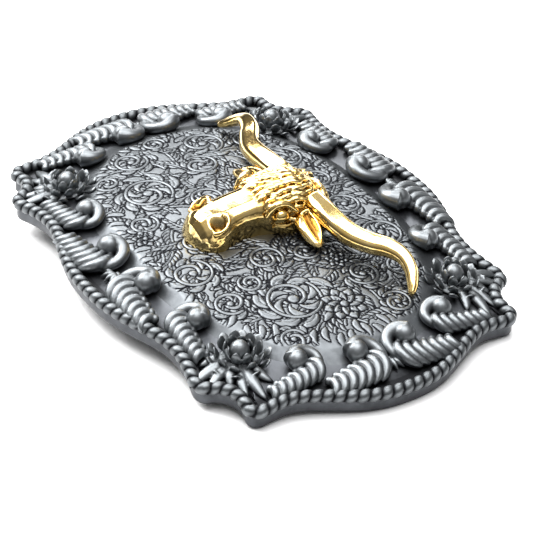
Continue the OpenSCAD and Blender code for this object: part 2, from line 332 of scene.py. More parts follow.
hook_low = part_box("hook_peg")[0]
plate_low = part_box("base_plate")[0]
CORNER_X, TABLE_GAP = 42.5 * MM, 0.02 * MM
lean = math.atan2(plate_low.z - hook_low.z, CORNER_X - hook_low.x)
table_turn = Matrix.Rotation(-lean, 4, "Y")
table_at = Vector((hook_low.x, 0, hook_low.z - TABLE_GAP))
bpy.ops.mesh.primitive_plane_add(size=6)
table = bpy.context.object
table.name = "table"
table.matrix_world = Matrix.Translation(table_at) @ table_turn
table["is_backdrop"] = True
paper, _, paper_shader = shader("white_paper")
paper_shader.inputs["Base Color"].default_value = (0.93, 0.93, 0.93, 1)
paper_shader.inputs["Roughness"].default_value = 0.7
table.data.materials.append(paper)
print("table leans", round(math.degrees(lean), 2), "degrees")

# %% [markdown]
# Polished metal shows what stands round it, so the light is built for its reflections: a wide soft box
# on the far side that the panel mirrors, a key from the upper left, and a weak fill. The room is
# bright above and grey at the sides, which gives the gold its dark edges.

# %% Room and lamps
def soft_box(name, direction, distance, size, watts):
    lamp = bpy.data.lights.new(name, "AREA")
    lamp.shape = "RECTANGLE"
    lamp.size, lamp.size_y = size
    lamp.energy = watts
    holder = bpy.data.objects.new(name, lamp)
    way = Vector(direction).normalized()
    holder.location = way * distance
    holder.rotation_euler = way.to_track_quat("Z", "Y").to_euler()
    bpy.context.scene.collection.objects.link(holder)


far_way = Vector((-back.x, -back.y, 0)).normalized()
side_way = -right
soft_box("sky_panel", (0, 0, 1), 0.9, (0.8, 0.8), 13.0)
soft_box("key_left", side_way * 0.9 + far_way * 0.5 + Vector((0, 0, 0.9)), 0.8, (0.55, 0.55), 11.0)
soft_box("far_strip", far_way + side_way * 0.25 + Vector((0, 0, 0.75)), 0.9, (0.8, 0.3), 7.0)
room = bpy.data.worlds.new("studio")
bpy.context.scene.world = room
room.use_nodes = True
room_tree = room.node_tree
room_back = room_tree.nodes["Background"]
room_back.inputs["Strength"].default_value = 0.75
room_way = node(room_tree, "ShaderNodeTexCoord").outputs["Generated"]
room_split = node(room_tree, "ShaderNodeSeparateXYZ", Vector=room_way)
room_ramp = node(room_tree, "ShaderNodeValToRGB", Fac=room_split.outputs["Z"])
room_tree.links.new(room_ramp.outputs["Color"], room_back.inputs["Color"])
stops = room_ramp.color_ramp.elements
for i, (height, grey) in enumerate(((0.0, 0.5), (0.10, 0.10), (0.35, 0.3), (0.7, 0.9))):
    stop = stops.new(height) if i else stops[0]
    stop.position = height
    stop.color = (grey, grey, grey * 1.01, 1)
stops[-1].color = (1, 1, 1, 1)
bpy.context.scene.view_settings.view_transform = "Standard"

# %% [markdown]
# ## Finishes
# Antique silver plate is dipped in a dark oxide and then rubbed, so the oxide stays in every recess and
# the high parts shine. Each piece therefore carries a number called `patina` on its points, 1
# in a recess and 0 on a crest, worked out from how its surface bends. On the silver it is oxide; on the
# gold head it is painted shade in the hollows. The finish mixes two metals by it and adds the faint
# cloudiness and fine scratches of a rubbed surface.

# %% Recess marking
def mark_recesses(mesh, reach, rounds, low=None):
    """Writes patina, oxide on silver and painted shade on gold: how far a point lies below its softened
    surroundings, over reach, in mm.

    Where low is given, points less than about low mm above the plate are dark too.
    """
    co = coords(mesh) / MM
    edges = np.empty(len(mesh.edges) * 2, np.int32)
    mesh.edges.foreach_get("vertices", edges)
    a, b = edges.reshape(-1, 2).T
    count = np.bincount(np.concatenate([a, b]), minlength=len(co))[:, None]
    soft = co.copy()
    for _ in range(rounds):
        total = np.zeros_like(soft)
        for i in range(3):
            total[:, i] = np.bincount(a, soft[b, i], len(co)) + np.bincount(b, soft[a, i], len(co))
        soft = 0.4 * soft + 0.6 * total / np.maximum(count, 1)
    normals = np.empty(len(co) * 3, np.float32)
    mesh.vertices.foreach_get("normal", normals)
    below = np.einsum("ij,ij->i", soft - co, normals.reshape(-1, 3))
    patina = 0.5 + below / reach
    if low is not None:
        height = co[:, 2] - (TOP - dome_drop(co[:, 0], co[:, 1]))
        patina = np.maximum(patina, 1.15 - height / low)
    write_patina_and_shade(mesh, patina)


def write_patina_and_shade(mesh, values):
    layer = mesh.attributes.new("patina", "FLOAT", "POINT")
    layer.data.foreach_set("value", np.clip(values, 0, 1).astype(np.float32))


# %% Material tools
def ramp(tree, source, stops):
    made = node(tree, "ShaderNodeValToRGB", Fac=source)
    for element, (place, colour) in zip(made.color_ramp.elements, stops):
        element.position = place
        element.color = (*colour, 1)
    return made.outputs["Color"]


def number_ramp(tree, source, stops):
    return ramp(tree, source, [(place, (v, v, v)) for place, v in stops])


def mixed(tree, factor, first, second, blend="MIX"):
    made = node(tree, "ShaderNodeMix", data_type="RGBA", blend_type=blend)
    for socket, value in ((made.inputs[0], factor), (made.inputs[6], first), (made.inputs[7], second)):
        if isinstance(value, bpy.types.NodeSocket):
            tree.links.new(value, socket)
        else:
            socket.default_value = (*value, 1) if isinstance(value, tuple) else value
    return made.outputs[2]


def object_noise(tree, scale, detail, roughness=0.55, stretch=(1, 1, 1)):
    place = node(tree, "ShaderNodeTexCoord").outputs["Object"]
    fit = node(tree, "ShaderNodeMapping", Scale=stretch, Vector=place)
    return node(tree, "ShaderNodeTexNoise", Scale=scale, Detail=detail, Roughness=roughness,
                Vector=fit.outputs["Vector"]).outputs["Fac"]


def bumps(tree, surface, layers):
    """Chains bump nodes: each layer is (height socket, depth in metres)."""
    last = {}
    for height, depth in layers:
        bump = node(tree, "ShaderNodeBump", Strength=1.0, Distance=depth, Height=height, **last)
        last = {"Normal": bump.outputs["Normal"]}
    tree.links.new(last["Normal"], surface.inputs["Normal"])


# %% Antique silver
def antique_silver(name, bright, dark, rough, recess_rough, recess_at=(0.42, 0.66)):
    material, tree, surface = shader(name)
    surface.inputs["Metallic"].default_value = 1.0
    patina = node(tree, "ShaderNodeAttribute", attribute_name="patina").outputs["Fac"]
    cloud = object_noise(tree, 420, 6)
    grain = object_noise(tree, 5200, 3)
    rubbed = object_noise(tree, 2600, 2, stretch=(0.25, 1, 1))
    clouded = maths(tree, "ADD", maths(tree, "MULTIPLY_ADD", cloud, 0.24, -0.12), patina)
    recess = number_ramp(tree, clouded, ((recess_at[0], 0.0), (recess_at[1], 1.0)))
    metal = ramp(tree, cloud, ((0.3, tuple(0.82 * c for c in bright)), (0.7, bright)))
    tree.links.new(mixed(tree, recess, metal, dark), surface.inputs["Base Color"])
    worn = number_ramp(tree, grain, ((0.3, rough * 0.85), (0.75, rough * 1.2)))
    tree.links.new(mixed(tree, recess, worn, (recess_rough,) * 3), surface.inputs["Roughness"])
    bumps(tree, surface, ((cloud, 0.00003), (rubbed, 0.000006), (grain, 0.000006)))
    return material


silver_relief = antique_silver("antique_silver_relief", (0.178, 0.190, 0.198), (0.010, 0.0105, 0.012),
                               0.40, 0.55, (0.42, 0.78))
silver_panel = antique_silver("antique_silver_panel", (0.130, 0.139, 0.147), (0.006, 0.0065, 0.008),
                              0.40, 0.6)
silver_skirt = antique_silver("antique_silver_skirt", (0.11, 0.116, 0.126), (0.016, 0.0165, 0.018),
                              0.36, 0.48)
print("silver finishes ready")

# %% [markdown]
# ## Base plate
# The plate is struck from sheet into a shallow dome, and its rim turns down into a smooth skirt that
# hides its thickness. Rings that follow the outline make it: from the middle of the face, out to the
# rim, down the skirt in a soft quarter round, and back under to the middle of the hollow.

# %% Base plate
def squircle(rx, ry, power):
    way = np.arctan2(rim[:, 1] / 35, rim[:, 0] / 48)
    return np.column_stack([rx * np.sign(np.cos(way)) * np.abs(np.cos(way)) ** (2 / power),
                            ry * np.sign(np.sin(way)) * np.abs(np.sin(way)) ** (2 / power)])


def ring(points, height):
    return np.column_stack([points, TOP - dome_drop(*points.T) + height])


pocket = squircle(40.2, 28.7, 2.6)
# Rings over the face, round the skirt and over the hollow: how far out, how high, and how dark.
FACE = ((0.02, 0.36), (0.3, 0.36), (0.6, 0.36), (0.8, 0.40), (0.9, 0.50), (0.96, 0.62))
SKIRT = ((-1.2, 0, 0.9), (-0.4, 0, 0.9), (0.4, 0, 0.8), (0.75, -0.06, 0.75), (1.0, -0.22, 0.62),
         (1.12, -0.5, 0.55), (1.15, -0.9, 0.54), (1.15, -2.2, 0.53), (1.12, -2.6, 0.53), (1.0, -2.85, 0.55),
         (0.7, -2.99, 0.6), (0.1, -2.99, 0.62))
HOLLOW = ((1.03, -2.99), (1.008, -2.95), (0.998, -2.6), (0.985, -1.45), (0.975, -1.4),
          (0.85, -1.4), (0.6, -1.4), (0.3, -1.4), (0.02, -1.4))
plate_rings = ([ring(rim * s, 0) for s, _ in FACE] + [ring(rim + o * rim_out, h) for o, h, _ in SKIRT]
               + [ring(pocket * s, h) for s, h in HOLLOW])
ring_patina = [row[-1] for row in FACE + SKIRT] + [0.6] * len(HOLLOW)


ends = [plate_rings[i].mean(0, keepdims=True) for i in (0, -1)]
base_plate = new_piece("base_plate_shell", np.vstack(plate_rings + ends) * MM,
                       flipped(row_faces(len(plate_rings), len(rim))))
write_patina_and_shade(base_plate.data, np.concatenate([np.repeat(ring_patina, len(rim)), [0.5, 0.6]]))
base_plate.data.materials.append(silver_skirt)
stands_for(base_plate, "base_plate")
print("base plate", len(base_plate.data.polygons), "faces")

# %% [markdown]
# ## Rope edge
# The edge is cast like a tightly laid cord. Geometry Nodes sweep a round section along the rim and press
# a groove into it that winds round as it goes, which leaves the plump slanted strands. How deep a point
# lies in the groove is kept as its patina, so the oxide collects there.

# %% Rope by Geometry Nodes
STRANDS, POINTS_A_STRAND = 144, 14
ROPE_UP, ROPE_R, ROPE_OUT, ROPE_GROOVE = 0.4, 1.22, 0.85, 0.52


def run_tree(holder, tree, values):
    """Runs a tree on holder, with each input set by its socket's identifier, and returns the mesh."""
    growing = holder.modifiers.new(tree.name, "NODES")
    growing.node_group = tree
    for item in tree.interface.items_tree:
        if item.in_out == "INPUT" and item.name in values:
            growing[item.identifier] = values[item.name]
    return made_by_modifiers(holder)


def new_tree(name, inputs):
    tree = bpy.data.node_groups.new(name, "GeometryNodeTree")
    tree.interface.new_socket("Geometry", in_out="INPUT", socket_type="NodeSocketGeometry")
    for label, kind, value in inputs:
        made = tree.interface.new_socket(label, in_out="INPUT", socket_type=kind)
        if value is not None:
            made.default_value = value
    tree.interface.new_socket("Geometry", in_out="OUTPUT", socket_type="NodeSocketGeometry")
    return tree, tree.nodes.new("NodeGroupInput"), tree.nodes.new("NodeGroupOutput")


def painted(tree, geometry, given, result):
    """Ends a tree: gives the geometry its finish."""
    done = node(tree, "GeometryNodeSetMaterial", Geometry=geometry, Material=given.outputs["Finish"])
    tree.links.new(done.outputs[0], result.inputs["Geometry"])


def kept_number(tree, geometry, name, value):
    """Stores a number on every point."""
    return node(tree, "GeometryNodeStoreNamedAttribute", data_type="FLOAT", domain="POINT", Name=name,
                Geometry=geometry, Value=value).outputs[0]


def read_number(tree, name, kind="FLOAT"):
    return node(tree, "GeometryNodeInputNamedAttribute", data_type=kind, Name=name).outputs["Attribute"]


tree, given, result = new_tree("twisted_cord", [
    ("Radius", "NodeSocketFloat", ROPE_R * MM), ("Strands", "NodeSocketInt", STRANDS),
    ("Groove", "NodeSocketFloat", ROPE_GROOVE * MM), ("Finish", "NodeSocketMaterial", None)])
line = node(tree, "GeometryNodeResampleCurve", Count=STRANDS * POINTS_A_STRAND,
            Curve=given.outputs["Geometry"])
section = node(tree, "GeometryNodeCurvePrimitiveCircle", Resolution=26, Radius=given.outputs["Radius"])
share = node(tree, "GeometryNodeSplineParameter").outputs["Factor"]
sweep = node(tree, "GeometryNodeCurveToMesh", **{
    "Curve": kept_number(tree, line.outputs["Curve"], "along", share),
    "Profile Curve": kept_number(tree, section.outputs["Curve"], "around", share)})
wind = maths(tree, "ADD", read_number(tree, "around"),
             maths(tree, "MULTIPLY", read_number(tree, "along"), given.outputs["Strands"]))
wave_height = maths(tree, "ABSOLUTE", maths(tree, "SINE", maths(tree, "MULTIPLY", wind, math.pi)))
deep = maths(tree, "SUBTRACT", 1.0, maths(tree, "POWER", wave_height, 0.42))
pressed = maths(tree, "MULTIPLY", maths(tree, "MULTIPLY", deep, given.outputs["Groove"]), -1.0)
facing = node(tree, "GeometryNodeInputNormal").outputs[0]
push = node(tree, "ShaderNodeVectorMath", operation="SCALE", Vector=facing, Scale=pressed)
moved = node(tree, "GeometryNodeSetPosition", Geometry=sweep.outputs["Mesh"], Offset=push.outputs[0])
oxide_kept = kept_number(tree, moved.outputs[0], "patina", maths(tree, "MULTIPLY_ADD", deep, 0.56, 0.50))
soft = node(tree, "GeometryNodeSetShadeSmooth", Geometry=oxide_kept)
painted(tree, soft.outputs[0], given, result)

rim_line = bpy.data.curves.new("rim_line", "CURVE")
rim_line.dimensions = "3D"
rim_line.twist_mode = "Z_UP"
spline = rim_line.splines.new("POLY")
spline.points.add(len(rim) - 1)
for point, (x, y, z) in zip(spline.points, ring(rim + ROPE_OUT * rim_out, ROPE_UP) * MM):
    point.co = (x, y, z, 1)
spline.use_cyclic_u = True
rope_path = bpy.data.objects.new("rim_path", rim_line)
bpy.context.scene.collection.objects.link(rope_path)
rope_mesh = run_tree(rope_path, tree, {"Radius": ROPE_R * MM, "Strands": STRANDS, "Groove": ROPE_GROOVE * MM,
                                       "Finish": silver_relief})
rope = bpy.data.objects.new("rope_edge_cord", rope_mesh)
bpy.context.scene.collection.objects.link(rope)
stands_for(rope, "rope_edge")
print("rope", len(rope_mesh.polygons), "faces")

# %% [markdown]
# ## Scrolls
# Each scroll is a leaf that has rolled up: a fat band runs out of the ribs, curls over and ends in a
# polished bulb. The ribs fan from under the band towards the rope and trail to the nearest corner.
# One scroll is modelled flat, with +X towards its corner and +Y towards the rope, then set on the dome
# sixteen times: turned for its side, mirrored for its half, and scaled a little for its place.

# %% One scroll
def rib(at, heading, length, width, bend, height):
    """A rib that starts at the inner edge, swells, and runs out to a point near the rope."""
    t = np.linspace(0, 1, 12)
    way = np.radians(heading + bend * (t - 0.25))
    step = length / 11
    x = at[0] + np.concatenate([[0], np.cumsum(np.cos(way[1:]) * step)])
    y = at[1] + np.concatenate([[0], np.cumsum(np.sin(way[1:]) * step)])
    swell = np.sin(np.pi * np.clip(0.16 + 0.84 * t, 0, 1)) ** 0.6
    z = height * (0.25 + 0.75 * np.sin(np.pi * np.clip(0.2 + 0.72 * t, 0, 1)))
    return tube(np.column_stack([x, y, z]), np.maximum(width * swell, 0.16), 12, flat=1.15)


# The band: its middle line beside the bulb, the line's height, and the band's half-width there.
BAND = [(0.7, -0.5, 1.95, 2.0), (-0.6, -1.2, 1.95, 1.75), (-2.0, -1.2, 1.85, 1.4), (-3.2, -0.2, 1.65, 1.2),
        (-3.65, 1.4, 1.4, 1.08), (-3.1, 3.0, 1.2, 0.95), (-1.7, 4.2, 1.0, 0.8), (0.3, 5.0, 0.85, 0.65),
        (2.6, 5.4, 0.7, 0.35)]


PITCH = 1.66                     # from one rib to the next, in mm
BAND_DEPTH = 5.6                 # the room for which BAND is drawn


def scroll_shapes(depth, ribs):
    """depth is the room from the bulb's middle to the rope, in mm, and ribs how many lobes follow it."""
    shapes = [blob((0.15, 0.05, 2.0), (2.05, 1.95, 2.05), (0, 0, 20), 28)]
    band = smooth_line([(x, y * (depth / BAND_DEPTH if y > 0 else 1), z) for x, y, z, _ in BAND], 5)
    shapes.append(tube(band, smooth_line([(row[3], 0, 0) for row in BAND], 5)[:, 0], 18))
    for i in range(ribs):
        part = i / ribs
        x, y = -1.7 + PITCH * i, 1.3 + 0.2 * min(i, 3) - 1.3 * part
        length = (1.26 * depth - 0.3) * (1 - 0.48 * part)
        shapes.append(rib((x, y), 99 - 14 * part, length, 1.06 - 0.18 * part, -118, 1.75 - 0.6 * part))
        shapes.append(blob((x + 0.1, y, 0.85), (0.92 - 0.15 * part, 0.8, 1.2 - 0.4 * part), segments=16))
    t = np.linspace(0, 1, 12)
    web = np.column_stack([-2.2 + (PITCH * ribs - 1.4) * t, 0.55 * depth * (1 - 0.15 * t), np.full(12, 0.2)])
    shapes.append(tube(web, (0.36 - 0.14 * t) * depth, flat=0.3))
    return shapes


def on_face(points, at, spin, side, flip, size):
    """Scales, mirrors and turns points in mm, then seats them on the dome for one side of the rim."""
    p = points * size
    turn = math.radians(spin)
    x = p[:, 0] * math.cos(turn) - p[:, 1] * math.sin(turn) + at[0]
    y = p[:, 0] * math.sin(turn) + p[:, 1] * math.cos(turn) - at[1]
    if flip:
        x = -x
    quarter = side * math.pi / 2
    px = x * math.cos(quarter) - y * math.sin(quarter)
    py = x * math.sin(quarter) + y * math.cos(quarter)
    return np.column_stack([px, py, p[:, 2] + TOP - dome_drop(px, py)])


# Where a bulb sits on a long and on an end side, for the outer scroll and the inner one, and its size.
SPOTS = (((-19.4, 24.9, 0.95), (-6.4, 27.6, 1.04)), ((-15.2, 36.9, 0.92), (-4.9, 40.1, 0.98)))
SIDES = ("lower", "right", "upper", "left")
FLOOR = 0.03                     # how far an ornament's flat back stands off the plate
TAIL_TURN = 14                   # degrees that a scroll's tail leans towards the rope
FORMS = {(0, 0): (4.9, 7), (0, 1): (5.9, 7), (1, 0): (4.9, 7), (1, 1): (6.2, 7)}     # room and ribs



def ornament(name, cad_node, points, faces, reach, rounds, low):
    """Makes a silver ornament of points in mm, with its recesses marked."""
    piece = new_piece(name, points * MM, faces)
    mark_recesses(piece.data, reach, rounds, low)
    piece.data.materials.append(silver_relief)
    stands_for(piece, cad_node)


scroll_forms = {kind: cast(scroll_shapes(*sizes), 0.14, 5) for kind, sizes in FORMS.items()}
for side in range(4):
    for k in range(4):
        half, flip = (k, False) if k < 2 else (3 - k, True)
        at_x, at_y, size = SPOTS[side % 2][half]
        points, faces = scroll_forms[(side % 2, half)]
        raised = np.column_stack([-points[:, :2], np.maximum(points[:, 2], FLOOR)])
        placed = on_face(raised, (at_x, at_y), TAIL_TURN, side, flip, size)
        name = f"scroll_{SIDES[side]}_{k + 1}"
        ornament("leaf_" + name, name, placed, flipped(faces) if flip else faces, 0.5, 30, 1.3)
print("scrolls", {k: len(v[1]) for k, v in scroll_forms.items()}, "faces each")

# %% [markdown]
# ## Corner flowers and fans
# Each corner holds a thistle-like flower: an egg-shaped bud in a crown of small cupped petals, over
# long leaves that reach into the corner's two points. Petals repeat round the bud, so Geometry Nodes
# set them: a circle of points, one petal on each, turned to face outwards, with a little variation from
# a fixed seed. The crown, the bud and the leaves are then cast together.

# %% Petal crown by Geometry Nodes
def on_points(tree, points, pattern, turned, given, result, **more):
    """Ends a tree: sets the pattern on the points, makes it real and gives it its finish."""
    placed = node(tree, "GeometryNodeInstanceOnPoints", Points=points, Rotation=turned.outputs["Rotation"],
                  Instance=pattern.outputs["Geometry"], **more)
    real = node(tree, "GeometryNodeRealizeInstances", Geometry=placed.outputs[0])
    painted(tree, real.outputs[0], given, result)


tree, given, result = new_tree("petal_crown", [
    ("Petal", "NodeSocketObject", None), ("Count", "NodeSocketInt", 9), ("Radius", "NodeSocketFloat", 2.4),
    ("Open", "NodeSocketFloat", 0.5), ("Seed", "NodeSocketInt", 3), ("Finish", "NodeSocketMaterial", None)])
circle = node(tree, "GeometryNodeMeshCircle", fill_type="NONE", Vertices=given.outputs["Count"],
              Radius=given.outputs["Radius"])
spot = node(tree, "GeometryNodeInputPosition").outputs[0]
facing = node(tree, "FunctionNodeAlignRotationToVector", axis="X", pivot_axis="Z", Vector=spot)
waver = node(tree, "FunctionNodeRandomValue", data_type="FLOAT", Seed=given.outputs["Seed"])
waver.inputs[2].default_value, waver.inputs[3].default_value = -0.14, 0.14
tip = maths(tree, "SUBTRACT", waver.outputs[1], given.outputs["Open"])
tip_turn = node(tree, "ShaderNodeCombineXYZ", Y=tip, Z=waver.outputs[1])
turned = node(tree, "FunctionNodeRotateRotation", rotation_space="LOCAL",
              **{"Rotation": facing.outputs["Rotation"], "Rotate By": tip_turn.outputs[0]})
petal_info = node(tree, "GeometryNodeObjectInfo", Object=given.outputs["Petal"])
on_points(tree, circle.outputs[0], petal_info, turned, given, result)
crown_tree = tree


def crown(petal, count, radius, opening, seed):
    """Runs the petal crown once and returns its points and faces, in mm."""
    pattern = new_piece("petal_pattern", *petal)
    made = run_tree(new_piece("crown", [(0, 0, 0)], []), crown_tree, {
        "Petal": pattern, "Count": count, "Radius": radius, "Open": opening, "Seed": seed,
        "Finish": silver_relief})
    bpy.data.objects.remove(pattern)
    return coords(made), faces_of(made)


def petal(length, width, thick):
    """A cupped petal that starts at the origin and runs out along +X, curling up to a round tip."""
    t = np.linspace(0, 1, 9)
    path = np.column_stack([length * t, np.zeros(9), 0.35 * length * t ** 2.2])
    radii = width * np.interp(t, [0, 0.55, 0.85, 1], [0.45, 1.0, 0.85, 0.4])
    return tube(path, radii, 10, flat=thick / width)


# %% Flower
def leaf(angle, length, width):
    """A pointed leaf under the crown, bowed a little to one side."""
    t = np.linspace(0, 1, 14)[:, None]
    out, aside = heading(angle), heading(angle + 90)
    place = (LEAF_START + length * t) * out + 0.5 * np.sin(np.pi * t) * aside
    rise = LEAF_LIFT * (0.55 + 0.6 * np.sin(np.pi * np.clip(t * 0.9 + 0.1, 0, 1))) - 0.5 * t
    radii = width * np.sin(np.pi * np.clip(0.15 + 0.83 * t[:, 0], 0, 1)) ** 0.8 + 0.08
    return tube(np.column_stack([place, rise]), radii, flat=0.8)


LEAF_START, LEAF_LIFT = 1.6, 0.75
LEAVES = ((4, 8.6, 1.0), (22, 7.2, 0.85), (44, 5.0, 0.9), (66, 7.6, 0.85), (84, 8.4, 1.0), (-18, 6.0, 0.85),
          (108, 5.4, 0.85))
# Crowns from the inside out: petals, radius, opening, seed, a petal's length, width and thickness, height.
CROWNS = ((8, 1.9, 1.15, 3, (2.6, 0.98, 0.30), 0.8), (9, 2.9, 0.80, 5, (2.4, 1.08, 0.30), 0.5),
          (10, 3.8, 0.35, 8, (2.0, 1.0, 0.32), 0.35))
flower_shapes = [blob((0, 0, 2.0), (1.75, 1.75, 2.15), segments=24)]
for *ring_of, size, high in CROWNS:
    points, faces = crown(petal(*size), *ring_of)
    flower_shapes.append((points + [0, 0, high], faces))
flower_shapes += [leaf(*sizes) for sizes in LEAVES]
flower_shapes.append(blob((0, 0, 0.2), (3.6, 3.6, 0.7), segments=24))
flower_form = cast(flower_shapes, 0.14, 2)

# The flower is drawn for the upper right corner, with its leaves towards +X and +Y.
CORNERS = {"upper_right": (1, 1), "upper_left": (-1, 1), "lower_left": (-1, -1), "lower_right": (1, -1)}
FLOWER_AT, FLOWER_SIZE = (30.4, 23.0), 1.05
points, faces = flower_form
for corner, signs in CORNERS.items():
    px, py = ((points[:, :2] * FLOWER_SIZE + FLOWER_AT) * signs).T
    high = np.maximum(points[:, 2], FLOOR) + TOP - dome_drop(px, py)
    ornament("thistle_" + corner, "flower_" + corner, np.column_stack([px, py, high]),
             flipped(faces) if signs[0] * signs[1] < 0 else faces, 0.45, 22, 0.9)
print("flower", len(flower_form[1]), "faces")

# %% Fans in the middle of the sides
fan_shapes = [rib((0.25 * i, -1.3 + 0.15 * abs(i)), 90 - 30 * i, 2.5, 0.5, 0, 0.85) for i in range(-2, 3)]
fan_shapes.append(blob((0, -1.5, 0.4), (0.8, 0.6, 0.7), segments=16))
points, fan_faces = cast(fan_shapes, 0.12, 2)
FAN_OUT = (31.0, 44.3)
raised = np.column_stack([points[:, 0], -points[:, 1], np.maximum(points[:, 2], FLOOR)])
for side, label in enumerate(SIDES):
    seated = on_face(raised, (0, FAN_OUT[side % 2]), 0, side, False, 1.0)
    ornament("small_fan_" + label, "fan_" + label, seated, flipped(fan_faces), 0.4, 18, 0.8)
print("fan", len(fan_faces), "faces")

# %% [markdown]
# ## Engraved panel
# The middle of the face is a soft cushion covered with western scrollwork: spirals that end in a curl,
# comma-shaped leaves that fan from their outsides, open flowers, and feathers of short strokes between.
# An engraver cuts the outline of one leaf over the next, so the relief is drawn in that order on a fine
# grid. Each stroke is a low ridge with a groove round it, and a later stroke covers an earlier one.

# %% Drawing board
STEP = 0.2
FIELD_X, FIELD_Y, FIELD_POWER = 37.7, 24.6, 2.4
board_x = np.arange(-41.8, 41.8 + STEP, STEP)
board_y = np.arange(-27.4, 27.4 + STEP, STEP)
grid_x, grid_y = np.meshgrid(board_x, board_y)
relief = np.zeros_like(grid_x)
oxide = np.full_like(grid_x, 0.3)


def field_share(x, y):
    """1 on the edge of the engraving, less inside it."""
    across, up = (np.abs(x) / FIELD_X) ** FIELD_POWER, (np.abs(y) / FIELD_Y) ** FIELD_POWER
    return (across + up) ** (1 / FIELD_POWER)


def stroke(line, widths, rise=0.3, groove=0.3, cut=0.22, dark=1.0):
    """Draws one ridge along line, with a half-width at each point, and cuts a groove round it."""
    line, widths = np.asarray(line, float), np.asarray(widths, float)
    reach = widths.max() + groove
    i0, i1 = np.searchsorted(board_x, (line[:, 0].min() - reach, line[:, 0].max() + reach))
    j0, j1 = np.searchsorted(board_y, (line[:, 1].min() - reach, line[:, 1].max() + reach))
    if i0 >= i1 or j0 >= j1:
        return
    part = np.s_[j0:j1, i0:i1]
    x, y = grid_x[part], grid_y[part]
    over, wide = np.full(x.shape, 9.0), np.full(x.shape, 1.0)
    for (x0, y0), (x1, y1), w0, w1 in zip(line, line[1:], widths, widths[1:]):
        t = ((x - x0) * (x1 - x0) + (y - y0) * (y1 - y0)) / ((x1 - x0) ** 2 + (y1 - y0) ** 2)
        t = np.clip(t, 0, 1)
        w = w0 + t * (w1 - w0)
        d = np.hypot(x - x0 - t * (x1 - x0), y - y0 - t * (y1 - y0)) - w
        nearer = d < over
        over[nearer], wide[nearer] = d[nearer], w[nearer]
    inside, beside = over < 0, (over >= 0) & (over < groove)
    share = np.clip(-over / np.maximum(wide, 0.05), 0, 1)[inside]
    depth = np.sin(np.pi * (over[beside] / groove * 0.75 + 0.25))
    relief[part][inside] = rise * (1 - (1 - share) ** 4)
    relief[part][beside] = -cut * depth
    oxide[part][inside] = 0.62 - 0.62 * np.clip(share * 2.2, 0, 1)
    oxide[part][beside] = np.maximum(oxide[part][beside] * 0.6, dark * (0.45 + 0.55 * depth))


def leaf_line(x, y, angle, length, bend, steps=7):
    """A line that leaves (x, y) at angle degrees and has turned by bend degrees at its end."""
    ways = heading(angle + bend * np.linspace(0, 1, steps) ** 1.2)[:, 1:]
    run = np.concatenate([np.zeros((2, 1)), np.cumsum(ways, axis=1)], axis=1) * length / (steps - 1)
    return run.T + [x, y]


COMMA = np.array([0.55, 0.9, 1.0, 0.92, 0.72, 0.42, 0.1])


def comma(x, y, angle, length, bend, width, **more):
    stroke(leaf_line(x, y, angle, length, bend), width * COMMA, **more)


def dot(x, y, radius, **more):
    stroke([(x, y), (x + 0.05, y)], [radius] * 2, **more)


# %% Scrollwork
# Spirals: centre, radius, the angle where the stem comes in, and which way it winds.
SPIRALS = [(23.0, -7.0, 6.0, 120, -1), (-18.3, -12.3, 5.4, 40, 1), (-29.0, 6.3, 4.7, -60, 1),
           (-22.0, 1.6, 3.6, 200, -1), (-30.2, -9.0, 3.7, 100, -1), (8.0, -18.6, 4.2, 150, -1),
           (13.6, 18.6, 4.4, -20, 1), (-11.0, -4.0, 3.4, 60, 1), (11.0, -5.0, 3.6, 20, 1),
           (12.4, 2.6, 3.0, 200, -1), (22.6, 8.2, 3.4, -90, 1), (-16.5, 16.6, 4.4, 190, -1),
           (-26.0, 15.0, 3.6, 60, 1), (0.5, -13.2, 3.0, 60, 1), (3.0, 17.6, 3.4, 220, -1),
           (-7.0, 18.0, 3.0, -20, 1), (23.6, 16.2, 3.2, 120, 1), (31.6, 9.6, 3.0, 220, -1),
           (-9.6, -18.2, 3.0, 120, -1), (31.8, -12.6, 2.6, 100, 1), (18.6, -17.4, 3.2, 20, -1),
           (-34.0, -1.6, 2.4, 80, 1), (15.6, -11.4, 2.4, 200, 1), (-25.6, -16.8, 2.6, 20, -1)]
ROSES = [(28.2, 0.4, 3.9, 8), (-5.6, -20.4, 2.3, 6), (17.2, 6.2, 2.0, 6), (-13.0, 4.6, 2.2, 6)]
chance = np.random.default_rng(11)
flow_centres = np.array([(s[0], s[1]) for s in SPIRALS])
feathers = []
for row, y in enumerate(np.arange(-24, 24.1, 3.1)):
    for x in np.arange(-37, 37.1, 4.2) + 2.1 * (row % 2):
        x_at, y_at = x + chance.uniform(-0.7, 0.7), y + chance.uniform(-0.5, 0.5)
        if field_share(x_at, y_at) < 0.95:
            near = np.argmin(np.hypot(*(flow_centres - [x_at, y_at]).T))
            away = math.degrees(math.atan2(y_at - flow_centres[near, 1], x_at - flow_centres[near, 0]))
            hand = SPIRALS[near][4]
            feathers.append((x_at, y_at, away + 72 * hand + chance.uniform(-12, 12), hand))
for x, y, angle, hand in feathers:
    for k, root in enumerate(leaf_line(x, y, angle, 4.6, -34 * hand, 6)):
        comma(*root, angle - 7 * k * hand + 52 * hand, 3.5 - 0.25 * k, -66 * hand, 0.52 - 0.03 * k,
              rise=0.24, groove=0.26, dark=0.95)
    stroke(leaf_line(x, y, angle, 5.4, -40 * hand), np.linspace(0.26, 0.12, 7), rise=0.26, groove=0.22)

# A ruffle of long leaves points outwards all round the edge.
for i, angle in enumerate(np.arange(0, 360, 5.2)):
    x, y = heading(angle) * [FIELD_X, FIELD_Y]
    inner = (0.90 + 0.035 * math.sin(i * 1.7)) / field_share(x, y)
    hand = (-1) ** (i // 9)
    comma(x * inner, y * inner, angle + 34 * hand, 3.4, -62 * hand, 0.66, groove=0.24)

COIL = ([0, 0.56, 0.8, 1.0], [0.88, 0.74, 0.36, 0.12])      # how the stem's radius falls as it winds in
COIL_TURN = 500


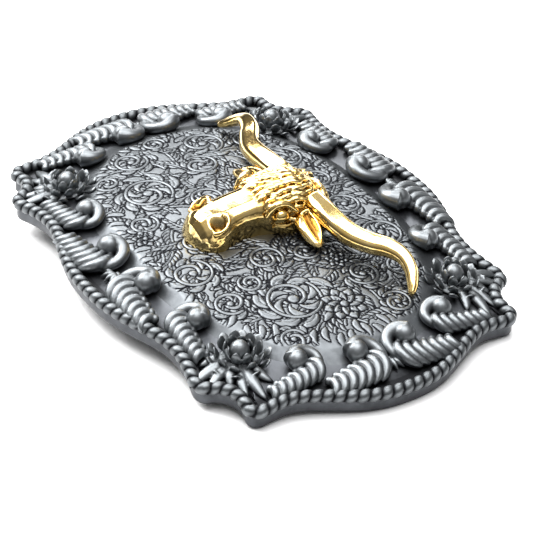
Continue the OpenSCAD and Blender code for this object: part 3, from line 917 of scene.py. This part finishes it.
def on_coil(spiral, t, off=0.0):
    """The stem's point at share t of its length, and the angle there."""
    x, y, size, start, hand = spiral
    angle = start + hand * t * COIL_TURN
    return heading(angle) * (size * np.interp(t, *COIL) + off) + [x, y], angle


for spiral in SPIRALS:
    x, y, size, _, hand = spiral
    count, inner = max(int(size * 1.7), 6), max(int(size * 0.95), 3)
    for t in np.arange(count) / count * 0.72:
        root, angle = on_coil(spiral, t)
        long, wide = 0.86 * size * (1 - 0.35 * t), 0.17 * size + 0.12
        comma(*root, angle + 30 * hand, long, 82 * hand, wide, rise=0.34)
        comma(*root, angle + 40 * hand, 0.72 * long, 74 * hand, 0.3 * wide, rise=0.4, groove=0.16, cut=0.02,
              dark=0.7)
    for t in 0.02 + np.arange(inner) / inner * 0.55:
        root, angle = on_coil(spiral, t, -0.1)
        comma(*root, angle + 104 * hand, 0.80 * size, 104 * hand, 0.125 * size, rise=0.28, groove=0.26)
    turns = np.linspace(0, 1, 40)
    stem = [on_coil(spiral, t)[0] for t in turns]
    stroke(stem, np.interp(turns, [0, 0.3, 1], [0.24, 0.27, 0.40]), rise=0.32, groove=0.24)
    dot(x, y, 0.15 * size + 0.15, rise=0.42, groove=0.24)

for x, y, size, petals in ROSES:
    for ring_size, wide, twist in ((1.0, 0.34, 0.0), (0.66, 0.26, 0.5)):
        for angle in 360 * (np.arange(petals) + twist) / petals:
            out = heading(angle) * size
            comma(*(out * 0.2 + [x, y]), angle - 8, 0.85 * size * ring_size, 16, wide * size * ring_size,
                  rise=0.4)
            comma(*(out * 0.3 * ring_size + [x, y]), angle, 0.4 * size * ring_size, 8, 0.1, rise=0.36,
                  groove=0.18, cut=0.05)
    dot(x, y, 0.2 * size, rise=0.5)

# %% Panel
edge = field_share(grid_x, grid_y)
fade = np.clip((0.99 + 0.012 * np.sin(23 * np.arctan2(grid_y, grid_x)) - edge) / 0.025, 0, 1)
relief = relief * fade
oxide = oxide * fade + 0.46 * (1 - fade)
fall = np.clip((edge - 0.95) / 0.145, 0, 1)
slope = fall * fall * (3 - 2 * fall)
height = (PANEL_UP - 0.30) * (1 - slope) - 0.06 * fall + relief * 0.55
oxide += 0.06 * fall * (1 - fade)
kept = edge < 1.10
number = np.full(kept.shape, -1)
number[kept] = np.arange(kept.sum())
corner = [number[:-1, :-1], number[:-1, 1:], number[1:, 1:], number[1:, :-1]]
whole = np.all([c >= 0 for c in corner], axis=0)
quads = np.column_stack([c[whole] for c in corner])
flat_x, flat_y = grid_x[kept], grid_y[kept]
verts = np.column_stack([flat_x, flat_y, height[kept] + TOP - dome_drop(flat_x, flat_y)])
panel = new_piece("scrollwork_panel", verts * MM, quads.tolist())
write_patina_and_shade(panel.data, oxide[kept])
panel.data.materials.append(silver_panel)
stands_for(panel, "engraved_panel")
print("panel", len(quads), "faces,", len(feathers), "feathers")

# %% [markdown]
# ## Steer head
# The head is a separate casting, plated gold and polished, pinned to the panel by two posts. A long flat
# nose runs from a rounded muzzle up to the brow, the crown is a cap of wavy hair that falls over the
# forehead, and the horns sweep out, up and down again to their tips. Its heights are measured from
# the panel. The halves are the same, so one half is laid down and mirrored before the casting is melted.

# %% Skull, muzzle and ears
HEAD_Z = TOP + PANEL_UP - 0.35


def both(shapes):
    """The shapes and their mirror images across the middle."""
    return shapes + [(v * [-1, 1, 1], flipped(f)) for v, f in shapes]


def loft(rows, sides=28):
    """Sections across the head: y, half-width, height, and how square the section is."""
    turn = np.linspace(0, 2 * np.pi, sides, endpoint=False)
    across, up = np.cos(turn), np.sin(turn)
    rings = [np.column_stack([half * np.sign(across) * np.abs(across) ** (2 / power), np.full(sides, y),
                              high * np.sign(up) * np.abs(up) ** (2 / power)])
             for y, half, high, power in rows]
    ends = [[0, rows[i][0], 0] for i in (0, -1)]
    return np.vstack(rings + ends), flipped(row_faces(len(rows), sides))


skull_rows = [(-14.8, 0.7, 0.8, 2.0), (-14.5, 2.2, 2.2, 2.0), (-13.9, 3.6, 3.6, 2.0), (-13.0, 4.7, 4.75, 2.1),
              (-11.9, 5.4, 5.45, 2.2), (-10.4, 5.6, 5.8, 2.4), (-8.8, 5.2, 5.9, 2.8), (-7.2, 4.6, 5.9, 3.3),
              (-5.0, 4.4, 6.1, 3.6), (-2.5, 4.6, 6.3, 3.4), (-0.5, 5.3, 6.6, 3.0), (1.5, 6.2, 7.0, 2.6),
              (4.0, 7.2, 7.4, 2.3), (7.0, 7.6, 7.6, 2.1), (10.0, 7.1, 7.0, 2.1), (12.3, 5.4, 5.2, 2.0),
              (13.5, 2.6, 2.4, 2.0)]
FEATURES = {                     # a line, how finely it is drawn, its radii at start, middle and end, sides
    "brow": ([(5.4, -1.6, 4.6), (5.6, -0.2, 6.1), (6.0, 2.2, 6.2), (7.0, 4.2, 4.6)], 5,
             (0.35, 0.75, 0.4), 12),
    "lower lid": ([(6.0, -0.4, 2.7), (7.0, 1.2, 2.2), (7.0, 3.2, 2.3)], 5, (0.3, 0.5, 0.3), 10),
    "nostril's rim": ([(2.3, -9.0, 5.6), (3.4, -8.7, 5.75), (4.6, -9.4, 4.9), (5.0, -10.8, 4.0),
                       (4.4, -12.0, 3.7)], 5, (0.35, 0.55, 0.3), 12),
    "ear's rolled edge": ([(6.0, 6.6, 4.0), (8.6, 6.6, 3.7), (11.6, 6.0, 3.0), (14.0, 4.6, 1.9)], 6,
                          (0.6, 0.5, 0.25), 12)}
half_face = [blob((6.0, 1.2, 4.0), (1.5, 1.6, 1.4), (0, 20, 0), 24),         # eyeball
             blob((9.9, 4.7, 2.5), (4.8, 1.95, 1.15), (0, 12, -5), 24)]      # ear
for points, fineness, radii, sides in FEATURES.values():
    path = smooth_line(points, fineness)
    half_face.append(tube(path, np.interp(np.linspace(0, 1, len(path)), [0, 0.5, 1], radii), sides))

# %% Horns
HORN = [(5.0, 8.8, 4.4, 2.3), (9.5, 8.7, 4.2, 2.35), (13.5, 8.9, 3.9, 2.3), (17.0, 9.6, 3.7, 2.2),
        (20.2, 11.2, 3.8, 2.05), (23.2, 13.2, 4.2, 1.85), (26.2, 14.3, 4.1, 1.6), (28.8, 14.2, 3.2, 1.35),
        (30.9, 13.2, 2.0, 1.05), (32.2, 12.1, 1.3, 0.6)]
horn_rows = smooth_line([row[:3] for row in HORN], 7)
horn_radius = smooth_line([(row[3], 0, 0) for row in HORN], 7)[:, 0]


def horn_skin(path, radii, sides=44):
    """A horn is not round: its upper side carries a sharp crease and it is flat below."""
    along, side, lift = section_axes(path)
    turn = np.linspace(0, 2 * np.pi, sides, endpoint=False)
    crease = 1 + 0.10 * np.exp(-((turn - 0.62 * np.pi) / 0.22) ** 2) - 0.16 * np.clip(-np.sin(turn), 0, 1)
    crease -= 0.07 * np.exp(-((turn - 0.42 * np.pi) / 0.35) ** 2)
    across, up = np.cos(turn)[None, :, None], np.sin(turn)[None, :, None]
    rings = path[:, None] + radii[:, None, None] * crease[None, :, None] * (across * side[:, None]
                                                                          + up * lift[:, None])
    verts = np.vstack([rings.reshape(-1, 3), path[0], path[-1] + along[-1] * radii[-1]])
    return verts, flipped(row_faces(len(path), sides))


# %% Hair by Geometry Nodes
# A lock is a tapered wave. Geometry Nodes put one on each of many loose points, turned and scaled by the
# numbers stored on that point; the points themselves follow the crown from back to brow.
tree, given, result = new_tree("locks_of_hair", [
    ("Lock", "NodeSocketObject", None), ("Size", "NodeSocketFloat", 1.0), ("Jitter", "NodeSocketFloat", 0.12),
    ("Seed", "NodeSocketInt", 4), ("Finish", "NodeSocketMaterial", None)])
shake = node(tree, "FunctionNodeRandomValue", data_type="FLOAT", Seed=given.outputs["Seed"])
shake.inputs[2].default_value = -1.0
swing_by = maths(tree, "MULTIPLY", shake.outputs[1], given.outputs["Jitter"])
swing = node(tree, "ShaderNodeCombineXYZ", Z=swing_by)
turned = node(tree, "FunctionNodeRotateRotation", rotation_space="LOCAL",
              **{"Rotation": read_number(tree, "turn", "FLOAT_VECTOR"), "Rotate By": swing.outputs[0]})
lock_size = maths(tree, "MULTIPLY", read_number(tree, "long"), given.outputs["Size"])
lock_info = node(tree, "GeometryNodeObjectInfo", Object=given.outputs["Lock"])
on_points(tree, given.outputs["Geometry"], lock_info, turned, given, result, Scale=lock_size)

t = np.linspace(0, 1, 12)
lock_line = np.column_stack([3.9 * t, 0.34 * np.sin(t * 2 * np.pi), 0.55 * np.sin(t * np.pi) - 0.35 * t])
lock_shape = tube(lock_line, np.interp(t, [0, 0.35, 0.8, 1], [0.22, 0.46, 0.36, 0.10]), 9)


def crown_height(x, y):
    """Height of the bare skull at (x, y), from its sections."""
    ys, *columns = np.array(skull_rows).T
    half, high, power = (np.interp(y, ys, column) for column in columns)
    return high * np.clip(1 - (abs(x) / half) ** power, 0, 1) ** (1 / power)


NEAR = 0.2                       # how far apart the skull's slope is taken
locks = []
for row, y in enumerate(np.arange(12.6, -0.9, -1.5)):
    half = np.interp(y, [-1, 1, 3, 5, 7, 10, 13], [1.2, 3.2, 4.9, 6.8, 7.4, 7.0, 4.2])
    count = max(int(half / 0.5), 3)
    for k in range(count + 1):
        x = 0.985 * (-half + 2 * half * (k + 0.5 * (row % 2)) / (count + 0.5))
        z = crown_height(x, y)
        slope_x = (crown_height(x + NEAR, y) - crown_height(x - NEAR, y)) / (2 * NEAR)
        slope_y = (crown_height(x, y + NEAR) - crown_height(x, y - NEAR)) / (2 * NEAR)
        part = np.clip((y - 8.6) / 3.0, -1, 1)
        flow = Vector((0.55 * x / half + 0.10 * math.sin(2.3 * x), -1 + 1.32 * max(part, 0), 0)).normalized()
        ground = Vector((-np.clip(slope_x, -3, 3), -np.clip(slope_y, -3, 3), 1)).normalized()
        ahead = (flow - ground * flow.dot(ground)).normalized()
        across = ground.cross(ahead)
        turned = Matrix((ahead, across, ground)).transposed().to_euler()
        locks.append(((x, y, z + 0.05), tuple(turned), 0.95 if y > 2 else 0.72))
print("hair", len(locks), "locks")
scalp = new_piece("scalp_points", [p[0] for p in locks], [])
turn_layer = scalp.data.attributes.new("turn", "FLOAT_VECTOR", "POINT")
turn_layer.data.foreach_set("vector", np.array([p[1] for p in locks], np.float32).ravel())
long_layer = scalp.data.attributes.new("long", "FLOAT", "POINT")
long_layer.data.foreach_set("value", np.array([p[2] for p in locks], np.float32))
lock_object = new_piece("lock_pattern", *lock_shape)
hair = run_tree(scalp, tree, {"Lock": lock_object, "Size": 1.0, "Jitter": 0.16, "Seed": 4})
bpy.data.objects.remove(lock_object)

# %% Cast the head
melted = cast([loft(skull_rows), *both(half_face), (coords(hair), faces_of(hair))], 0.168, 1)
points, faces = joined([melted] + both([horn_skin(horn_rows, horn_radius)]))
print("head cast", len(faces), "faces")

# Soft hollows: centre on one side, size along three axes, depth, and turn in degrees.
HOLLOWS = {"nostril": ((3.5, -10.6, 5.3), (1.35, 0.95, 2.5), 1.5, 35),
           "cup of the ear": ((10.4, 5.1, 3.4), (2.9, 0.7, 2.0), 0.9, -8),
           "corner of the eye": ((6.0, -1.0, 4.0), (1.0, 0.8, 2.2), 1.2, 30),
           "crease behind the lip": ((5.2, -12.0, 3.2), (0.55, 1.5, 1.6), 0.8, -35)}
for s in (-1, 1):
    for centre, size, depth, tilt in HOLLOWS.values():
        dx, dy, dz = (points - np.array(centre) * [s, 1, 1]).T
        turn = math.radians(tilt * s)
        u, v = dx * math.cos(turn) + dy * math.sin(turn), -dx * math.sin(turn) + dy * math.cos(turn)
        spread = ((u / size[0]) ** 2 + (v / size[1]) ** 2) ** 1.5 + (dz / size[2]) ** 2
        points[:, 2] -= depth * np.exp(-spread)
seat = HEAD_Z - dome_drop(points[:, 0], points[:, 1])
head_points = np.column_stack([points[:, :2], np.maximum(points[:, 2], 0) + seat])
head = new_piece("gold_steer_head", head_points * MM, faces)

# %% [markdown]
# Gold plate on a zinc casting mirrors the room on its smooth faces. Fine casting pits stay on the low
# sides, where the polishing wheel did not reach. The hollows between the locks get painted shade: a
# darker, redder brown gold, deepest where a point lies furthest below its surroundings.

# %% Gold finish
def polished_gold(name):
    material, tree, surface = shader(name)
    surface.inputs["Metallic"].default_value = 1.0
    patina = node(tree, "ShaderNodeAttribute", attribute_name="patina").outputs["Fac"]
    cloud = object_noise(tree, 260, 3)
    pits = object_noise(tree, 2600, 4, 0.7)
    fine = object_noise(tree, 9000, 2)
    # Painted shade: the deeper a point lies in a hollow, the more its colour turns to the dark brown gold.
    painted_hollow_shade = number_ramp(tree, patina, ((0.46, 0.0), (0.70, 1.0)))
    metal = ramp(tree, cloud, ((0.35, (0.74, 0.51, 0.17)), (0.7, (0.84, 0.63, 0.28))))
    tree.links.new(mixed(tree, painted_hollow_shade, metal, (0.17, 0.085, 0.016)), surface.inputs["Base Color"])
    worn = number_ramp(tree, pits, ((0.35, 0.07), (0.7, 0.13)))
    tree.links.new(mixed(tree, painted_hollow_shade, worn, (0.30,) * 3), surface.inputs["Roughness"])
    pitted = maths(tree, "MULTIPLY", pits, number_ramp(tree, patina, ((0.50, 0.12), (0.62, 1.0))))
    bumps(tree, surface, ((cloud, 0.00005), (pitted, 0.00004), (fine, 0.000002)))
    return material


gold = polished_gold("polished_gold_plate")
# On the gold head this number paints shade into the hollows; it is not oxide.
mark_recesses(head.data, 0.5, 20)
head.data.materials.append(gold)
stands_for(head, "steer_head")
print("steer head", np.round(np.ptp(head_points, axis=0), 2), "mm")

# %% [markdown]
# ## Hardware on the back
# The bracket, the rivets, the hook and its washer, the posts and their push-on nuts, and the wire loop
# are plain machined parts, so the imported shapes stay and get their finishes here. Satin nickel has fine
# tumbling marks, drawn wire has scratches along it, and zinc plate is faintly mottled.

# %% Plated steel and brass
def plated(name, light, dark, rough, scratch_scale, stretch, mottle):
    material, tree, surface = shader(name)
    surface.inputs["Metallic"].default_value = 1.0
    blotch = object_noise(tree, mottle, 5)
    scratch = object_noise(tree, scratch_scale, 3, 0.6, stretch)
    speck = object_noise(tree, 6500, 2)
    tone = ramp(tree, blotch, ((0.3, dark), (0.68, light)))
    worn = number_ramp(tree, scratch, ((0.35, 1.0), (0.7, 0.84)))
    tree.links.new(mixed(tree, 1.0, tone, worn, "MULTIPLY"), surface.inputs["Base Color"])
    tree.links.new(number_ramp(tree, scratch, ((0.3, rough * 0.8), (0.7, rough * 1.35))),
                   surface.inputs["Roughness"])
    bumps(tree, surface, ((blotch, 0.000015), (scratch, 0.000008), (speck, 0.000004)))
    return material


satin_nickel = plated("satin_nickel", (0.62, 0.61, 0.59), (0.47, 0.465, 0.45), 0.30, 1500, (1, 0.2, 1), 240)
nickel_wire = plated("nickel_wire", (0.66, 0.65, 0.63), (0.52, 0.515, 0.50), 0.20, 2200, (1, 0.15, 1), 300)
zinc_steel = plated("zinc_steel", (0.56, 0.57, 0.58), (0.38, 0.39, 0.41), 0.36, 1300, (1, 1, 1), 420)
turned_brass = plated("turned_brass", (0.80, 0.58, 0.27), (0.62, 0.43, 0.18), 0.28, 1800, (0.3, 0.3, 2),
                      260)
FINISHES = {"loop_bracket": satin_nickel, "bracket_rivets": satin_nickel, "hook_washer": satin_nickel,
            "hook_peg": nickel_wire, "belt_loop": nickel_wire, "post_nuts": zinc_steel,
            "head_posts": turned_brass}
for name, finish in FINISHES.items():
    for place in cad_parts[name].material_slots:
        place.material = finish
print("hardware finished:", ", ".join(FINISHES))

# %% Print both boxes
look_low, look_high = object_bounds()
for label, low, high in (("frame", cad_low, cad_high), ("looks", look_low, look_high)):
    print(label, [round(v / MM, 2) for v in low], [round(v / MM, 2) for v in high])
